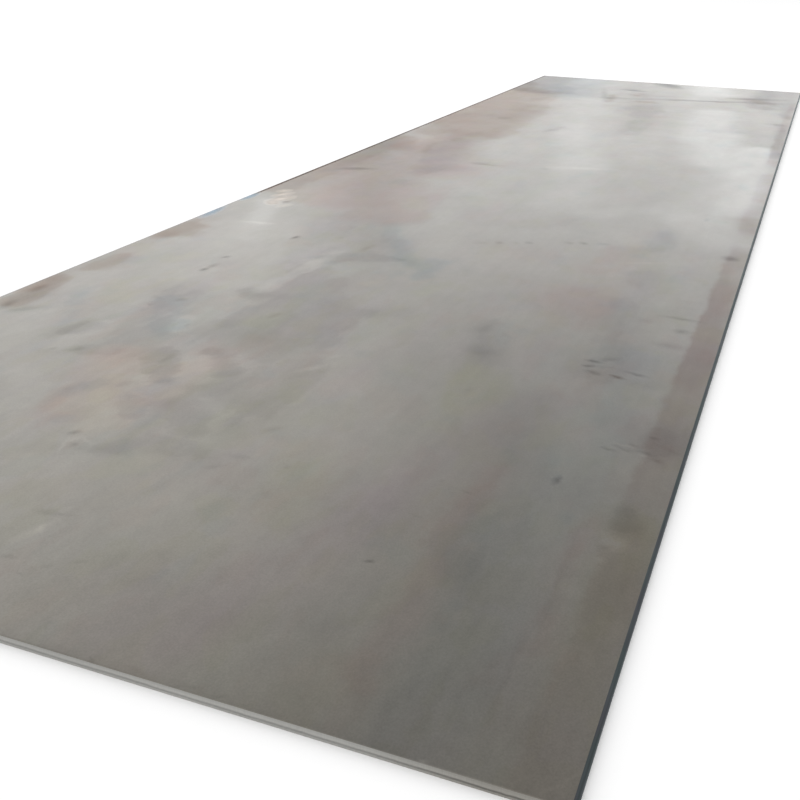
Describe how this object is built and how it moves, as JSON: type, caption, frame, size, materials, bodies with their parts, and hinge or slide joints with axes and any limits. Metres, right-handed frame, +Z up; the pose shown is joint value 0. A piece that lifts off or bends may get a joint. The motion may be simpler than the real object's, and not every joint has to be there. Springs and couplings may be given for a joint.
{
  "type": "steel plate",
  "caption": "Flat rectangular hot-rolled steel plate with rounded mill edges along its long sides and sheared short ends.",
  "frame": {"origin": "centre of the underside, on the level that the plate lies on", "axes": "+Y along the plate's length and rolling direction, +X across its width, +Z up through its thickness"},
  "size_m": [1.5, 6, 0.012],
  "materials": {
    "mill_scale_steel": "hot-rolled steel under a thin satin mill scale, grey with brownish haze and faint lengthwise streaks; long mill edges dark blue-grey, sheared ends bare bright grey"
  },
  "bodies": {
    "root": {"steel_plate": "mill_scale_steel"}
  },
  "joints": []
}
